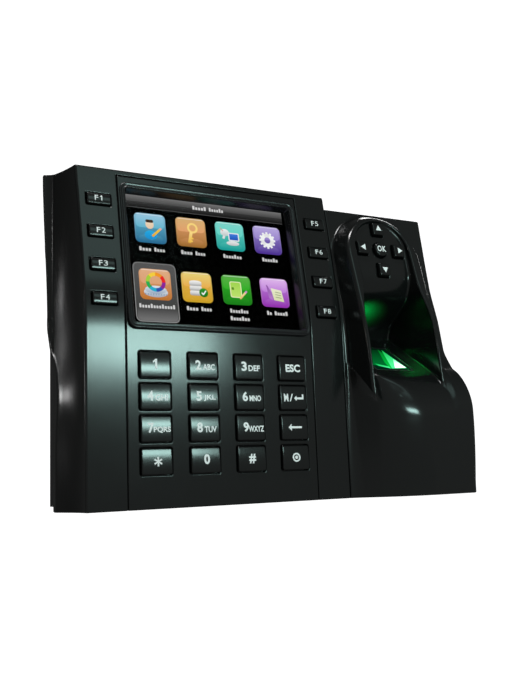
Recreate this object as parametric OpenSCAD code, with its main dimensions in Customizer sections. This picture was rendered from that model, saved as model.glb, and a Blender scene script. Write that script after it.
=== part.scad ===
// Wall-mounted fingerprint terminal: leaning display front, keypad, function keys
// and a raised finger channel with direction keys above an optical sensor.
// X runs to the right along the front, Y runs from the front into the wall, Z is up.
// The origin is the middle of the wall plate's back face, between its four holes.

/* [Body] */
// Width of the front face, between its side edges
body_w = 159.5; // [158:0.5:161]
// Height of the main front
body_h = 129; // [128:0.5:130]
// Depth from the wall to the keypad face
body_d = 36; // [36:0.5:38]
// Backward lean of the upper front, in degrees
lean = 9.66; // [9:0.1:10]
// Height at which the lean starts
bend_h = 74.7; // [74:0.1:75]
// Thickness of the moulded walls
wall = 2.2; // [2:0.1:2.4]
// How far the side flange stands out at the top
flare_top = 8.7; // [8:0.1:9]
// How far the side flange stands out at the bottom
flare_low = 4.9; // [4.6:0.1:5.2]

/* [Sensor side] */
// Where the sensor cover starts, from the left edge of the front
split_x = 108.8; // [108.6:0.1:109]
// Height of the sensor cover
side_h = 123.5; // [123:0.5:124]
// Middle of the finger channel, from the left edge of the front
nose_x = 130.8; // [130.6:0.1:131]
// Height of the centre of the channel's round top end
nose_z = 101; // [100.5:0.5:101.5]
// Outer radius of the channel's round top end
nose_r = 20; // [19.8:0.1:20.2]
// Slope of the sensor window, in degrees from level
sensor_tilt = 33; // [32:0.5:34]
// Width of the sensor window
sensor_w = 17.6; // [17:0.1:18]
// Length of the sensor window
sensor_l = 21.3; // [21:0.1:21.6]

/* [Display] */
// Width of the picture area
screen_w = 70.08; // [70:0.01:70.2]
// Height of the picture area
screen_h = 52.56; // [52.4:0.01:52.7]
// Middle of the picture, from the left edge of the front
screen_x = 54.6; // [54.5:0.1:54.7]
// Middle of the picture, up along the front
screen_s = 95; // [94.8:0.1:95]
// Left edge of the centre panel
panel_x = 15.35; // [15.2:0.05:15.5]
// Width of the centre panel
panel_w = 78.5; // [78:0.1:79]
// Top of the centre panel, up along the front
panel_s = 127.2; // [127:0.1:127.4]

/* [Keys] */
// Width of a keypad opening
key_w = 12.57; // [12.4:0.01:12.7]
// Height of a keypad opening
key_h = 10.09; // [10:0.01:10.2]
// Spacing of the keypad columns
key_dx = 19.25; // [19.1:0.05:19.4]
// Spacing of the keypad rows
key_dz = 11.7; // [11.6:0.05:11.8]
// Travel of every key
travel = 0.9; // [0.6:0.1:0.9]
// Width of a function key opening
fkey_w = 9.8; // [9.6:0.1:10]
// Height of a function key opening
fkey_h = 5.22; // [5:0.01:5.4]
// Spacing of the function keys
fkey_ds = 13.31; // [13.2:0.01:13.4]
// Spacing of the direction keys
nav_d = 9.4; // [9.3:0.1:9.5]
// Size of a direction key opening
nav_w = 6.2; // [6:0.1:6.3]

/* [Hidden] */
$fn = 40;
slack = 0.35;                       // gap round a key in its opening
fit_gap = 0.2;                      // gap between mouldings
panel_t = 1.8;                      // thickness of the centre panel
ledge_w = 3;                        // ledge that carries the centre panel
bend_w = 10;                        // half height of the bend
flange_y = 24.3;                    // flange front, behind the keypad face
flange_t = 1.6;                     // flange thickness
shell_back = -body_d + flange_y + flange_t;
side_r = 49;                        // sweep radius of the side walls
flange_r = 3.4;                     // hollow fillet between side wall and flange
plate_t = 2;                        // wall plate thickness
rear_inset = 4;                     // rear cover edge below the front cover's top and bottom
rear_out = 3.9;                     // rear cover edge outside the front face's side edges
board_y = -18;                      // front face of the main board
board_t = 1.6;                      // board thickness
nav_floor_y = -0.8;                 // channel floor at nav_ref_z, from the keypad face
nav_ref_z = 101;
nav_half = 14;                      // half width of the channel floor at the keys
nav_arch_z = 104.2;                 // centre of the floor's round top end
shoulder_z = 91.5;                  // where the channel floor turns inwards
shoulder_r = 8;
nav_z = 104.9;                      // height of the round key in the channel
nav_disc_r = 13.5;                  // rubber sheet and board under the direction keys
nose_wall = 1.6;
nav_key_wall = wall + 0.2;          // depth of the direction and function key openings
inner_r = 17;                       // half width of the finger channel
hump_x = 111.3;                     // left foot of the palm rest
brow_r = 10;                        // rounding between the sensor slope and the palm rest's front
brow_y = -body_d - 9.6;
slope_y = 3.4;                      // a point on the sensor slope, from the keypad face
slope_z = 58;
bay_x = [46, 112];                  // cable bay
bay_z = [20, 56];
screw_spots = [[8, 12], [8, 122.8], [102, 7], [102, 121.5]];
board_spots = [[17, 16], [94, 16], [20, 124.2], [88, 124.2]];
side_screw_spots = [[152, 8], [154, 112]];
screw_r = 1.25;
ledge_t = 1.6;                      // thickness of the ledge behind the panel
mat_back = panel_t + 5.2;           // rubber sheet's face behind the keypad face
fmat_back = wall + 5.8;             // rubber strip's face behind the front
nmat_back = wall + 5.5;             // round rubber sheet's face behind the channel floor
mat_t = 1;                          // thickness of the rubber sheets
usb_x = 40;                         // middle of the memory-stick socket
usb_y = board_y - 4.2;
jack_z = 34;                        // mouth of the network jack, facing down
hook_dx = 30;                       // wall plate hooks, out from the middle
hook_z = 107;
lock_y = shell_back + 4;            // lock screw at the bottom edge
hole_dx = 90;                       // wall screw spacing across
hole_dz = 80;                       // wall screw spacing up

// ---- curves -------------------------------------------------------------

// Height of two straight lines that meet at (zc, yc), rounded over zc -+ w
function bent(z, zc, yc, s0, s1, w) =
  yc + s0 * (z - zc) + (s1 - s0) * (abs(z - zc) < w ? pow(z - zc + w, 2) / (4 * w) : max(z - zc, 0));
function front_y(z) = bent(z, bend_h, -body_d, 0, tan(lean), bend_w);
function z_at(s) = s < bend_h ? s : bend_h + (s - bend_h) * cos(lean);
function rim_y(z) = bent(z, 67.5, -body_d - 13, 0.1, 0.27, 9);
function slope_line(y) = slope_z + tan(sensor_tilt) * (y + body_d - slope_y);
function nav_y(z) = -body_d + nav_floor_y + tan(lean) * (z - nav_ref_z);
function smooth(u) = let (v = min(max(u, 0), 1)) v * v * (3 - 2 * v);
function flare(z) = flare_low + (flare_top - flare_low) * smooth((z - 38) / (body_h - 38));
// Samples from a to b with the rounded stretch about c divided finely
function samples(a, b, c, w) = concat([a], [for (i = [0 : 8]) c - w + w * i / 4], [b]);
// Corner arc about (x, y) from angle a to angle b
function arc(x, y, r, a, b, n = 6) = [for (i = [0 : n]) let (t = a + (b - a) * i / n)
  [x + r * cos(t), y + r * sin(t)]];
function round_rect(w, h, r, n = 4) = concat(
  arc(w / 2 - r, h / 2 - r, r, 0, 90, n), arc(r - w / 2, h / 2 - r, r, 90, 180, n),
  arc(r - w / 2, r - h / 2, r, 180, 270, n), arc(w / 2 - r, r - h / 2, r, 270, 360, n));

// ---- placing ------------------------------------------------------------

module in_frame() {
  translate([-body_w / 2, 0, -body_h / 2]) children();
}
// A (y, z) outline, run from x0 to x1
module along_x(x0, x1) {
  translate([x0, 0, 0]) rotate([90, 0, 90]) linear_extrude(x1 - x0) children();
}
// An (x, z) outline, run from y0 to y1
module along_y(y0, y1) {
  translate([0, y1, 0]) rotate([90, 0, 0]) linear_extrude(y1 - y0) children();
}
// Local x right, local y up the front, local z straight out of it
module on_front(x, s) {
  translate([x, front_y(z_at(s)), z_at(s)]) rotate([90 - (s > bend_h ? lean : 0), 0, 0]) children();
}
module on_nav(dx, dz) {
  translate([nose_x + dx, nav_y(nav_z + dz), nav_z + dz]) rotate([90 - lean, 0, 0]) children();
}
// Local x right, local y up the sensor slope, local z straight out of it
module on_slope() {
  translate([nose_x, -body_d + slope_y, slope_z]) rotate([sensor_tilt, 0, 0]) children();
}
module slab(w, h, t) {
  translate([-w / 2, -h / 2, 0]) cube([w, h, t]);
}
module round_slab(w, h, t, r) {
  linear_extrude(t) polygon(round_rect(w, h, r));
}

// ---- outer forms, drawn t inside the surface ----------------------------

// Side sweep from the front edge back to the flange, as points (x out, y)
function sweep_pts(t) = concat(
  [for (i = [0 : 7]) let (y = 3 * i) [y * y / (2 * side_r) - t, y - body_d]],
  [for (i = [0 : 4]) let (a = 180 - 90 * i / 4)
    [pow(21, 2) / (2 * side_r) + flange_r * (1 + cos(a)) - t, 21 + flange_r * sin(a) - body_d]],
  [[flare_top + 1 - t, 21 + flange_r - body_d], [flare_top + 1 - t, shell_back + 1]]);
module sweep_section(x0, x1, t) {
  left = [for (p = sweep_pts(t)) [x0 - p[0], p[1]]];
  right = [for (i = [len(sweep_pts(t)) - 1 : -1 : 0]) [x1 + sweep_pts(t)[i][0], sweep_pts(t)[i][1]]];
  polygon(concat(left, right, [[x1 - t, -body_d - 40], [x0 + t, -body_d - 40]]));
}
module front_section(t, z_top) {
  zs = samples(-1, z_top + 1, bend_h, bend_w);
  polygon(concat([for (z = zs) [front_y(z) + t, z]], [[1, z_top + 1], [1, -1]]));
}
// Front outline with the waved side edges
module outline(x0, x1, z_top, t) {
  n = 16;
  zs = [for (i = [0 : n]) t + (z_top - 2 * t) * i / n];
  polygon(concat([for (z = zs) [x1 + flare(z) - t, z]],
    [for (i = [n : -1 : 0]) [x0 - flare(zs[i]) + t, zs[i]]]));
}
module main_form(t) {
  intersection() {
    along_y(-body_d - 1, shell_back + (t > 0 ? 1 : 0)) intersection() {
      outline(0, body_w, body_h, t);
      translate([-20, 0]) square([20 + split_x + (t > 0 ? 1 : 0), body_h]);
    }
    along_x(-20, split_x + 2) front_section(t, body_h);
    translate([0, 0, -1]) linear_extrude(body_h + 2) sweep_section(0, body_w, t);
  }
}
module side_form(t) {
  intersection() {
    along_y(-body_d - 1, shell_back + (t > 0 ? 1 : 0)) intersection() {
      outline(0, body_w, side_h, t);
      translate([split_x + fit_gap + t, 0]) square([body_w, side_h]);
    }
    along_x(split_x, body_w + 20) front_section(t, side_h);
    translate([0, 0, -1]) linear_extrude(side_h + 2) sweep_section(0, body_w, t);
  }
}
module nose_outline(r, z_low) {
  translate([nose_x, nose_z]) circle(r);
  translate([nose_x - r, z_low]) square([2 * r, nose_z - z_low]);
}
module nose_form(t) {
  zs = samples(30, body_h, 67.5, 9);
  intersection() {
    along_y(-body_d - 20, -body_d + 12) nose_outline(nose_r - t, 20);
    along_x(nose_x - 30, nose_x + 30)
      polygon(concat([for (z = zs) [rim_y(z) + t, z]], [[-body_d + 12, body_h], [-body_d + 12, 30]]));
    along_x(nose_x - 30, nose_x + 30)
      polygon([[-body_d - 30, slope_line(-body_d - 30) - t], [0, slope_line(0) - t], [0, 140],
        [-body_d - 30, 140]]);
  }
}
// Side view of the palm rest: sensor slope, round brow, near-vertical belly
function hump_side(t) = concat(
  [[-body_d + 23, slope_line(-body_d + 23) - t / cos(sensor_tilt)]],
  arc(brow_y, slope_line(brow_y) - brow_r / cos(sensor_tilt), brow_r - t, 90 + sensor_tilt, 176, 6),
  [[-body_d - 17.7 + t, t], [-body_d + 23, t]]);
// Plan of the palm rest at height u from 0 at the foot to 1 at the brow
function hump_plan(t, u) = let (run = 16 * (1 - u) + 2.5) concat(
  [[hump_x + t, -body_d + 6]],
  [for (i = [0 : 5]) let (a = 18 * i)
    [hump_x + t + run * (1 - cos(a)), -body_d - (18 - t) * sin(a)]],
  [[body_w - 10, -body_d - 20.5 + t], [body_w - 3, -body_d - 20.3 + t]],
  [for (i = [1 : 3]) let (a = 30 * i) [body_w - 3 + (3 - t) * sin(a), -body_d - 17.3 - (3 - t) * cos(a)]],
  [[body_w - t, -body_d + 6]]);
module hump_form(t) {
  intersection() {
    along_x(hump_x + t, body_w - t) polygon(hump_side(t));
    hull() {
      translate([0, 0, t]) linear_extrude(0.1) polygon(hump_plan(t, 0));
      translate([0, 0, 46]) linear_extrude(30) polygon(hump_plan(t, 1));
    }
  }
}
// The finger channel: key floor, shoulder, roof, back of the pocket, sensor slope
function channel_side(t) = concat(
  [[-body_d - 40, 140], [nav_y(140) + t, 140], [-body_d - 2.4 + t, shoulder_z]],
  [for (i = [1 : 4]) let (a = 15 * i)
    [-body_d + shoulder_r - 2.4 - (shoulder_r - t) * cos(a), shoulder_z - (shoulder_r - t) * sin(a)]],
  arc(-body_d + 15.5, 71.3, 4.8 + t, 62, 0, 4),
  [[-body_d + 20.3 + t, slope_line(-body_d + 20.3 + t) - t / cos(sensor_tilt)],
  [-body_d - 40, slope_line(-body_d - 40) - t / cos(sensor_tilt)]]);
module channel_form(t) {
  intersection() {
    along_y(-body_d - 30, -body_d + 24) union() {
      translate([nose_x, nav_arch_z]) circle(nav_half + t);
      translate([nose_x - nav_half - t, 60]) square([2 * (nav_half + t), nav_arch_z - 60]);
      translate([nose_x - inner_r - t, 30]) square([2 * (inner_r + t), 57 + t]);
      intersection() {
        nose_outline(inner_r + t, 80);
        translate([nose_x - 30, 80]) square([60, 14]);
      }
    }
    along_x(nose_x - 30, nose_x + 30) polygon(channel_side(t));
  }
}

// ---- openings -----------------------------------------------------------

function key_x(i) = panel_x + 4.45 + key_w / 2 + key_dx * i;
function key_z(j) = 57.1 - key_h / 2 - key_dz * j;
function fkey_x(side) = side == 0 ? 2.66 + fkey_w / 2 : 97.26 + fkey_w / 2;
function fkey_s(j) = 118.61 - fkey_h / 2 - fkey_ds * j;
module key_openings(grow) {
  for (i = [0 : 3], j = [0 : 3])
    translate([key_x(i), -body_d, key_z(j)]) rotate([90, 0, 0])
      translate([0, 0, -8]) round_slab(key_w + grow, key_h + grow, 12, 0.8);
}
module fkey_openings() {
  for (side = [0, 1], j = [0 : 3])
    on_front(fkey_x(side), fkey_s(j)) translate([0, 0, -6]) slab(fkey_w, fkey_h, 9);
}
module screen_opening(margin, depth) {
  on_front(screen_x, screen_s) translate([0, 0, -depth])
    round_slab(screen_w + 2 * margin, screen_h + 2 * margin, depth + 3, 2);
}
// The plate behind the front surface, between depths a and b
module front_layer(x0, x1, z0, z1, a, b) {
  zs = samples(z0, z1, bend_h, bend_w);
  n = len(zs) - 1;
  along_x(x0, x1) polygon(concat([for (z = zs) [front_y(z) + a, z]],
    [for (i = [n : -1 : 0]) [front_y(zs[i]) + b, zs[i]]]));
}
module boss(x, z, y0, y1, r) {
  translate([x, y1, z]) rotate([90, 0, 0]) cylinder(r = r, h = y1 - y0);
}

// ---- shells -------------------------------------------------------------

module front_cover() in_frame() color([0.09, 0.1, 0.1]) {
  difference() {
    union() {
      difference() {
        main_form(0);
        main_form(wall);
      }
      front_layer(panel_x - ledge_t, panel_x + panel_w + ledge_t, wall, z_at(panel_s) + ledge_t,
        wall - fit_gap, wall + ledge_t);
      for (p = screw_spots) boss(p[0], p[1], front_y(p[1]) + 1, shell_back, 3);
      for (p = board_spots) boss(p[0], p[1], front_y(p[1]) + wall - 0.4, board_y, 2.2);
    }
    front_layer(panel_x - fit_gap, panel_x + panel_w + fit_gap, -1, z_at(panel_s) + fit_gap,
      -2, panel_t + fit_gap);
    front_layer(panel_x + ledge_w, panel_x + panel_w - ledge_w, 6, z_at(panel_s) - ledge_w, -2, 6);
    screen_opening(2.4, 7);
    fkey_openings();
    for (p = screw_spots) boss(p[0], p[1], shell_back - 12, shell_back + 1, 1.3);
    for (p = board_spots) boss(p[0], p[1], board_y - 5, board_y + 1, 1.1);
    translate([usb_x - 7.5, usb_y - 3.8, -1]) cube([15, 7.6, wall + 2]);
  }
}

module sensor_cover() in_frame() color([0.08, 0.09, 0.09]) {
  difference() {
    union() {
      difference() {
        union() {
          side_form(0);
          nose_form(0);
          hump_form(0);
        }
        difference() {
          union() {
            side_form(wall);
            nose_form(nose_wall);
            hump_form(wall);
          }
          channel_form(wall);
        }
      }
      boss(side_screw_spots[0][0], side_screw_spots[0][1], -body_d - 16.5, shell_back, 3);
      boss(side_screw_spots[1][0], side_screw_spots[1][1], front_y(side_screw_spots[1][1]) + 1,
        shell_back, 3);
    }
    channel_form(0);
    for (d = [[0, 1], [0, -1], [1, 0], [-1, 0]])
      on_nav(d[0] * nav_d, d[1] * nav_d) translate([0, 0, -6]) slab(nav_w, nav_w, 9);
    on_nav(0, 0) translate([0, 0, -6]) cylinder(r = 3.6, h = 9);
    on_slope() translate([0, 0, -6]) slab(sensor_w + 2, sensor_l + 2, 10);
    for (p = side_screw_spots) boss(p[0], p[1], shell_back - 12, shell_back + 1, 1.3);
  }
}

module center_panel() in_frame() color([0.1, 0.11, 0.11]) {
  difference() {
    front_layer(panel_x, panel_x + panel_w, 0, z_at(panel_s), 0, panel_t);
    key_openings(0);
    screen_opening(2.4, 4);
  }
}

// Rear cover outline, t inside its edge
module rear_outline(t) {
  low = rear_inset + t - 2;
  polygon([[t - rear_out, low], [body_w + rear_out - t, low], [body_w + rear_out - t, side_h - low],
    [split_x - t, side_h - low], [split_x - t, body_h - low], [t - rear_out, body_h - low]]);
}
module rear_cover() in_frame() color([0.08, 0.08, 0.08]) {
  back = -plate_t;
  difference() {
    union() {
      along_y(shell_back, back) rear_outline(0);
      for (p = concat(screw_spots, side_screw_spots)) boss(p[0], p[1], shell_back, back, 4);
    }
    difference() {
      along_y(shell_back - 1, back - wall) rear_outline(wall);
      for (p = concat(screw_spots, side_screw_spots)) boss(p[0], p[1], shell_back - 2, back, 4);
    }
    for (p = concat(screw_spots, side_screw_spots)) {
      boss(p[0], p[1], shell_back - 1, back + 1, 1.6);
      boss(p[0], p[1], back - 3, back + 1, 3);
    }
    translate([bay_x[0], back - 10, bay_z[0]]) cube([bay_x[1] - bay_x[0], 12, bay_z[1] - bay_z[0]]);
    for (dx = [-hook_dx, hook_dx]) translate([body_w / 2 + dx - 6, back - 6, hook_z - 1]) cube([12, 8, 6]);
    for (i = [0 : 4]) translate([120, back - 6, 66 + 4 * i]) cube([20, 8, 1.6]);
    translate([body_w / 2 - 6.5, back - 3, 6]) cube([13, 5, 2.8]);
    translate([body_w / 2, lock_y, -1]) cylinder(r = 1.8, h = 6);
  }
}

module wall_plate() in_frame() color([0.6, 0.6, 0.62]) {
  cx = body_w / 2;
  cz = body_h / 2;
  difference() {
    union() {
      along_y(-plate_t, 0) translate([cx, cz]) polygon(round_rect(110, 100, 6, 5));
      for (dx = [-hook_dx, hook_dx]) {
        translate([cx + dx - 4, -6.4, hook_z]) cube([8, 5, 1.6]);
        translate([cx + dx - 4, -6.4, hook_z]) cube([8, 1.5, 4]);
      }
      translate([cx - 6, shell_back + 1.6, 6.5]) cube([12, 7, 1.8]);
      translate([cx - 6, -plate_t, 6.5]) cube([12, plate_t, 10]);
    }
    for (dx = [-1, 1], dz = [-1, 1])
      boss(cx + dx * hole_dx / 2, cz + dz * hole_dz / 2, -plate_t - 1, 1, 2.5);
    translate([bay_x[0] + 4, -plate_t - 1, bay_z[0] + 2])
      cube([bay_x[1] - bay_x[0] - 8, plate_t + 2, bay_z[1] - bay_z[0] - 4]);
    translate([cx, lock_y, 5]) cylinder(r = 1.3, h = 6);
  }
}

// ---- display ------------------------------------------------------------

module display_bezel() in_frame() color([0.02, 0.02, 0.02]) {
  on_front(screen_x, screen_s) difference() {
    translate([0, 0, -3.2]) round_slab(screen_w + 4.4, screen_h + 4.4, 3.1, 1.8);
    translate([0, 0, -4]) slab(screen_w + 0.4, screen_h + 0.4, 6);
  }
}
module display_window() in_frame() color([0.1, 0.12, 0.14, 0.5]) {
  on_front(screen_x, screen_s) translate([0, 0, -4.4]) slab(screen_w + 4, screen_h + 4, 1.1);
}
module lcd_module() in_frame() color([0.15, 0.15, 0.2]) {
  on_front(screen_x, screen_s) translate([0, -2, -7.6]) slab(screen_w + 3.6, screen_h + 5.5, 3.1);
}

// ---- keys and what lies under them --------------------------------------

// A key with a crowned cap, a retaining flange and a plunger. Local z is out of the face.
module key_body(w, h, proud, skin, crown) {
  cap_w = w - 2 * slack;
  cap_h = h - 2 * slack;
  intersection() {
    translate([0, 0, -skin - 0.9]) round_slab(cap_w, cap_h, skin + 0.9 + proud, 0.6);
    translate([-w / 2, 0, proud - crown]) rotate([0, 90, 0]) cylinder(r = crown, h = w, $fn = 120);
  }
  translate([0, 0, -skin - 1.1]) slab(cap_w + 1.6, min(cap_h + 1.2, h + 0.6), 0.9);
  translate([0, 0, -skin - 3.25]) slab(cap_w * 0.45, cap_h * 0.45, 2.2);
}
module pad_key(i, j) in_frame() color([0.03, 0.03, 0.03]) {
  translate([key_x(i), -body_d, key_z(j)]) rotate([90, 0, 0]) key_body(key_w, key_h, 1, panel_t, 14);
}
module function_key(side, j) in_frame() color([0.03, 0.03, 0.03]) {
  on_front(fkey_x(side), fkey_s(j)) key_body(fkey_w, fkey_h, 1, nav_key_wall, 7);
}
module arrow_key(dx, dz) in_frame() color([0.03, 0.03, 0.03]) {
  on_nav(dx * nav_d, dz * nav_d) key_body(nav_w, nav_w, 1.8, nav_key_wall, 30);
}
module key_1() pad_key(0, 0);
module key_2() pad_key(1, 0);
module key_3() pad_key(2, 0);
module key_esc() pad_key(3, 0);
module key_4() pad_key(0, 1);
module key_5() pad_key(1, 1);
module key_6() pad_key(2, 1);
module key_menu() pad_key(3, 1);
module key_7() pad_key(0, 2);
module key_8() pad_key(1, 2);
module key_9() pad_key(2, 2);
module key_back() pad_key(3, 2);
module key_star() pad_key(0, 3);
module key_0() pad_key(1, 3);
module key_hash() pad_key(2, 3);
module key_power() pad_key(3, 3);
module key_f1() function_key(0, 0);
module key_f2() function_key(0, 1);
module key_f3() function_key(0, 2);
module key_f4() function_key(0, 3);
module key_f5() function_key(1, 0);
module key_f6() function_key(1, 1);
module key_f7() function_key(1, 2);
module key_f8() function_key(1, 3);
module key_up() arrow_key(0, 1);
module key_down() arrow_key(0, -1);
module key_left() arrow_key(-1, 0);
module key_right() arrow_key(1, 0);
module key_ok() in_frame() color([0.03, 0.03, 0.03]) {
  on_nav(0, 0) {
    translate([0, 0, -wall - 1.1]) cylinder(r = 3.6 - slack, h = wall + 1.1 + 1.8);
    translate([0, 0, -wall - 1.3]) cylinder(r = 4.1, h = 0.9);
    translate([0, 0, -wall - 3.45]) cylinder(r = 1.6, h = 2.3);
  }
}
// A rubber sheet with one raised dome under each key
module mat(w, h, spots, dome_w, dome_h) {
  translate([0, 0, -mat_t]) slab(w, h, mat_t);
  for (p = spots) translate([p[0], p[1], -0.1]) slab(dome_w, dome_h, 1);
}
module keypad_mat() in_frame() color([0.3, 0.3, 0.32]) {
  cx = (key_x(0) + key_x(3)) / 2;
  cz = (key_z(0) + key_z(3)) / 2;
  translate([cx, -body_d + mat_back, cz]) rotate([90, 0, 0])
    mat(71, 46, [for (i = [0 : 3], j = [0 : 3]) [key_x(i) - cx, key_z(j) - cz]], 7, 5);
}
module keypad_board() in_frame() color([0.05, 0.3, 0.12]) {
  cx = (key_x(0) + key_x(3)) / 2;
  cz = (key_z(0) + key_z(3)) / 2;
  translate([cx, -body_d + mat_back + 1 + board_t, cz]) rotate([90, 0, 0]) slab(70, 47, board_t - 0.05);
}
module function_board(side) in_frame() color([0.05, 0.3, 0.12]) {
  on_front(fkey_x(side), (fkey_s(0) + fkey_s(3)) / 2)
    translate([0, 0, -fmat_back - mat_t - 0.05 - board_t]) slab(12, 48, board_t);
}
module function_mat(side) in_frame() color([0.3, 0.3, 0.32]) {
  on_front(fkey_x(side), (fkey_s(0) + fkey_s(3)) / 2) translate([0, 0, -fmat_back])
    mat(11.6, 48, [for (j = [0 : 3]) [0, (1.5 - j) * fkey_ds]], 5, 2.6);
}
module function_mat_left() function_mat(0);
module function_mat_right() function_mat(1);
module function_board_left() function_board(0);
module function_board_right() function_board(1);
module nav_mat() in_frame() color([0.3, 0.3, 0.32]) {
  on_nav(0, 0) translate([0, 0, -nmat_back]) {
    translate([0, 0, -1]) cylinder(r = nav_disc_r, h = 1);
    for (d = [[0, 0], [0, 1], [0, -1], [1, 0], [-1, 0]])
      translate([d[0] * nav_d, d[1] * nav_d, -0.1]) cylinder(r = 1.6, h = 1);
  }
}
module nav_board() in_frame() color([0.05, 0.3, 0.12]) {
  on_nav(0, 0) translate([0, 0, -nmat_back - 1.05 - board_t]) cylinder(r = nav_disc_r, h = board_t);
}

// ---- sensor -------------------------------------------------------------

module sensor_prism() in_frame() color([0.5, 0.8, 0.7, 0.5]) {
  on_slope() rotate([90, 0, 90]) translate([0, 0, -sensor_w / 2]) linear_extrude(sensor_w)
    polygon([[-sensor_l / 2, -0.3], [sensor_l / 2, -0.3], [sensor_l / 2, -2.5], [sensor_l / 4, -9],
      [-sensor_l / 2, -9]]);
}
module sensor_seal() in_frame() color([0.05, 0.05, 0.05]) {
  on_slope() translate([0, 0, -2]) difference() {
    slab(sensor_w + 1.9, sensor_l + 1.9, 1.8);
    translate([0, 0, -1]) slab(sensor_w + 0.1, sensor_l + 0.1, 4);
  }
}
module sensor_housing() in_frame() color([0.06, 0.06, 0.06]) {
  on_slope() difference() {
    translate([0, 0, -13.2]) slab(sensor_w + 4, sensor_l + 3, 10.9);
    translate([0, 0, -9.2]) slab(sensor_w + 0.2, sensor_l + 0.2, 8);
  }
}
module sensor_lights() in_frame() color([0.2, 1, 0.4]) {
  on_slope() {
    translate([0, 0, -14.4]) slab(sensor_w + 2, sensor_l + 1, 1.1);
    for (i = [-1, 0, 1]) translate([5 * i, sensor_l * 0.42, -8.9]) slab(3, 1.6, 2);
  }
}
module sensor_camera() in_frame() color([0.1, 0.1, 0.12]) {
  on_slope() {
    translate([0, -2, -16]) slab(16, 16, 1.5);
    translate([0, -2, -19.4]) cylinder(r = 4, h = 3.5);
  }
}

// ---- electronics --------------------------------------------------------

module main_board() in_frame() color([0.04, 0.28, 0.12]) {
  difference() {
    translate([14, board_y, 12]) cube([82, board_t, 114.4]);
    for (p = board_spots) boss(p[0], p[1], board_y - 1, board_y + board_t + 1, 1.3);
  }
  translate([30, board_y - 2, 60]) cube([16, 2.1, 16]);
  translate([56, board_y - 1.4, 64]) cube([12, 1.5, 9]);
  translate([72, board_y - 1.4, 64]) cube([12, 1.5, 9]);
}
module board_screws() in_frame() color([0.75, 0.75, 0.77]) {
  for (p = board_spots) {
    boss(p[0], p[1], board_y - 4, board_y + board_t + 0.1, 1);
    boss(p[0], p[1], board_y + board_t, board_y + board_t + 1.4, 1.9);
  }
}
module network_jack() in_frame() color([0.72, 0.72, 0.74]) {
  y0 = board_y + board_t;
  difference() {
    translate([54, y0, jack_z]) cube([16, 13.2, 21]);
    translate([56, y0 + 3, jack_z - 1]) cube([12, 7.4, 14]);
    translate([59, y0 + 10.3, jack_z - 1]) cube([6, 1.8, 8]);
  }
}
module usb_port() in_frame() color([0.75, 0.75, 0.78]) {
  difference() {
    translate([usb_x - 7.2, usb_y - 3.5, 0.4]) cube([14.4, 7.1, 17]);
    translate([usb_x - 6.2, usb_y - 2.6, -1]) cube([12.4, 5.3, 13]);
  }
  translate([usb_x - 5.6, usb_y - 0.6 - 1.8, 1.5]) cube([11.2, 0.6, 12]);
  translate([usb_x - 5, usb_y + 3.5, 12.2]) cube([10, 0.7, 5]);
}
module terminal_block() in_frame() color([0.1, 0.45, 0.2]) {
  y0 = board_y + board_t;
  difference() {
    translate([73, y0, 40]) cube([22, 9, 9]);
    for (i = [0 : 4]) translate([76 + 4 * i, y0 + 4.5, 38]) cylinder(r = 1.3, h = 8);
  }
  for (i = [0 : 4]) boss(76 + 4 * i, 44.5, y0 + 8.9, y0 + 9.4, 1.5);
}
module speaker() in_frame() color([0.12, 0.12, 0.13]) {
  boss(130, 75, -plate_t - wall - 5.2, -plate_t - wall - 0.1, 12);
  boss(130, 75, -plate_t - wall - 7.4, -plate_t - wall - 5.1, 7);
}
module backup_battery() in_frame() color([0.2, 0.3, 0.5]) {
  translate([30, -plate_t - wall - 6.6, 64]) cube([50, 6.5, 34]);
}
module card_antenna() in_frame() color([0.1, 0.35, 0.15]) {
  cx = (key_x(0) + key_x(3)) / 2;
  translate([cx, -body_d + mat_back + 3 + board_t, 43]) rotate([90, 0, 0]) difference() {
    slab(70, 49, 1);
    translate([0, 0, -1]) slab(60, 39, 3);
  }
}
module cover_screws() in_frame() color([0.3, 0.3, 0.32]) {
  for (p = concat(screw_spots, side_screw_spots)) {
    boss(p[0], p[1], shell_back - 6, -plate_t - 3.1, screw_r);
    boss(p[0], p[1], -plate_t - 3, -plate_t - 1, 2.6);
    boss(p[0], p[1], -plate_t - 3.2, -plate_t - 2.9, screw_r);
  }
}
module lock_screw() in_frame() color([0.75, 0.75, 0.77]) {
  translate([body_w / 2, lock_y, 1.7]) cylinder(r = screw_r, h = 8.6);
  translate([body_w / 2, lock_y, 0.2]) cylinder(r = 2.6, h = 1.6);
}

wall_plate();
rear_cover();
front_cover();
sensor_cover();
center_panel();
display_bezel();
display_window();
lcd_module();
keypad_mat();
keypad_board();
function_mat_left();
function_mat_right();
function_board_left();
function_board_right();
nav_mat();
nav_board();
sensor_prism();
sensor_seal();
sensor_housing();
sensor_lights();
sensor_camera();
main_board();
speaker();
backup_battery();
card_antenna();
network_jack();
usb_port();
terminal_block();
cover_screws();
board_screws();
lock_screw();
key_1();
key_2();
key_3();
key_esc();
key_4();
key_5();
key_6();
key_menu();
key_7();
key_8();
key_9();
key_back();
key_star();
key_0();
key_hash();
key_power();
key_f1();
key_f2();
key_f3();
key_f4();
key_f5();
key_f6();
key_f7();
key_f8();
key_up();
key_down();
key_left();
key_right();
key_ok();
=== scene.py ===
"""The looks of a wall-mounted fingerprint terminal, built round its CAD frame.

Shells and key caps are rounded solids: each is a field of distances in millimetres, negative
inside the plastic, and solid() turns it into a mesh. Millimetres are measured from the front
face's lower left corner: x to the right, y into the wall, z up.
"""
import math

import bmesh
import bpy
import numpy as np
from mathutils import Matrix, Vector


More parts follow.
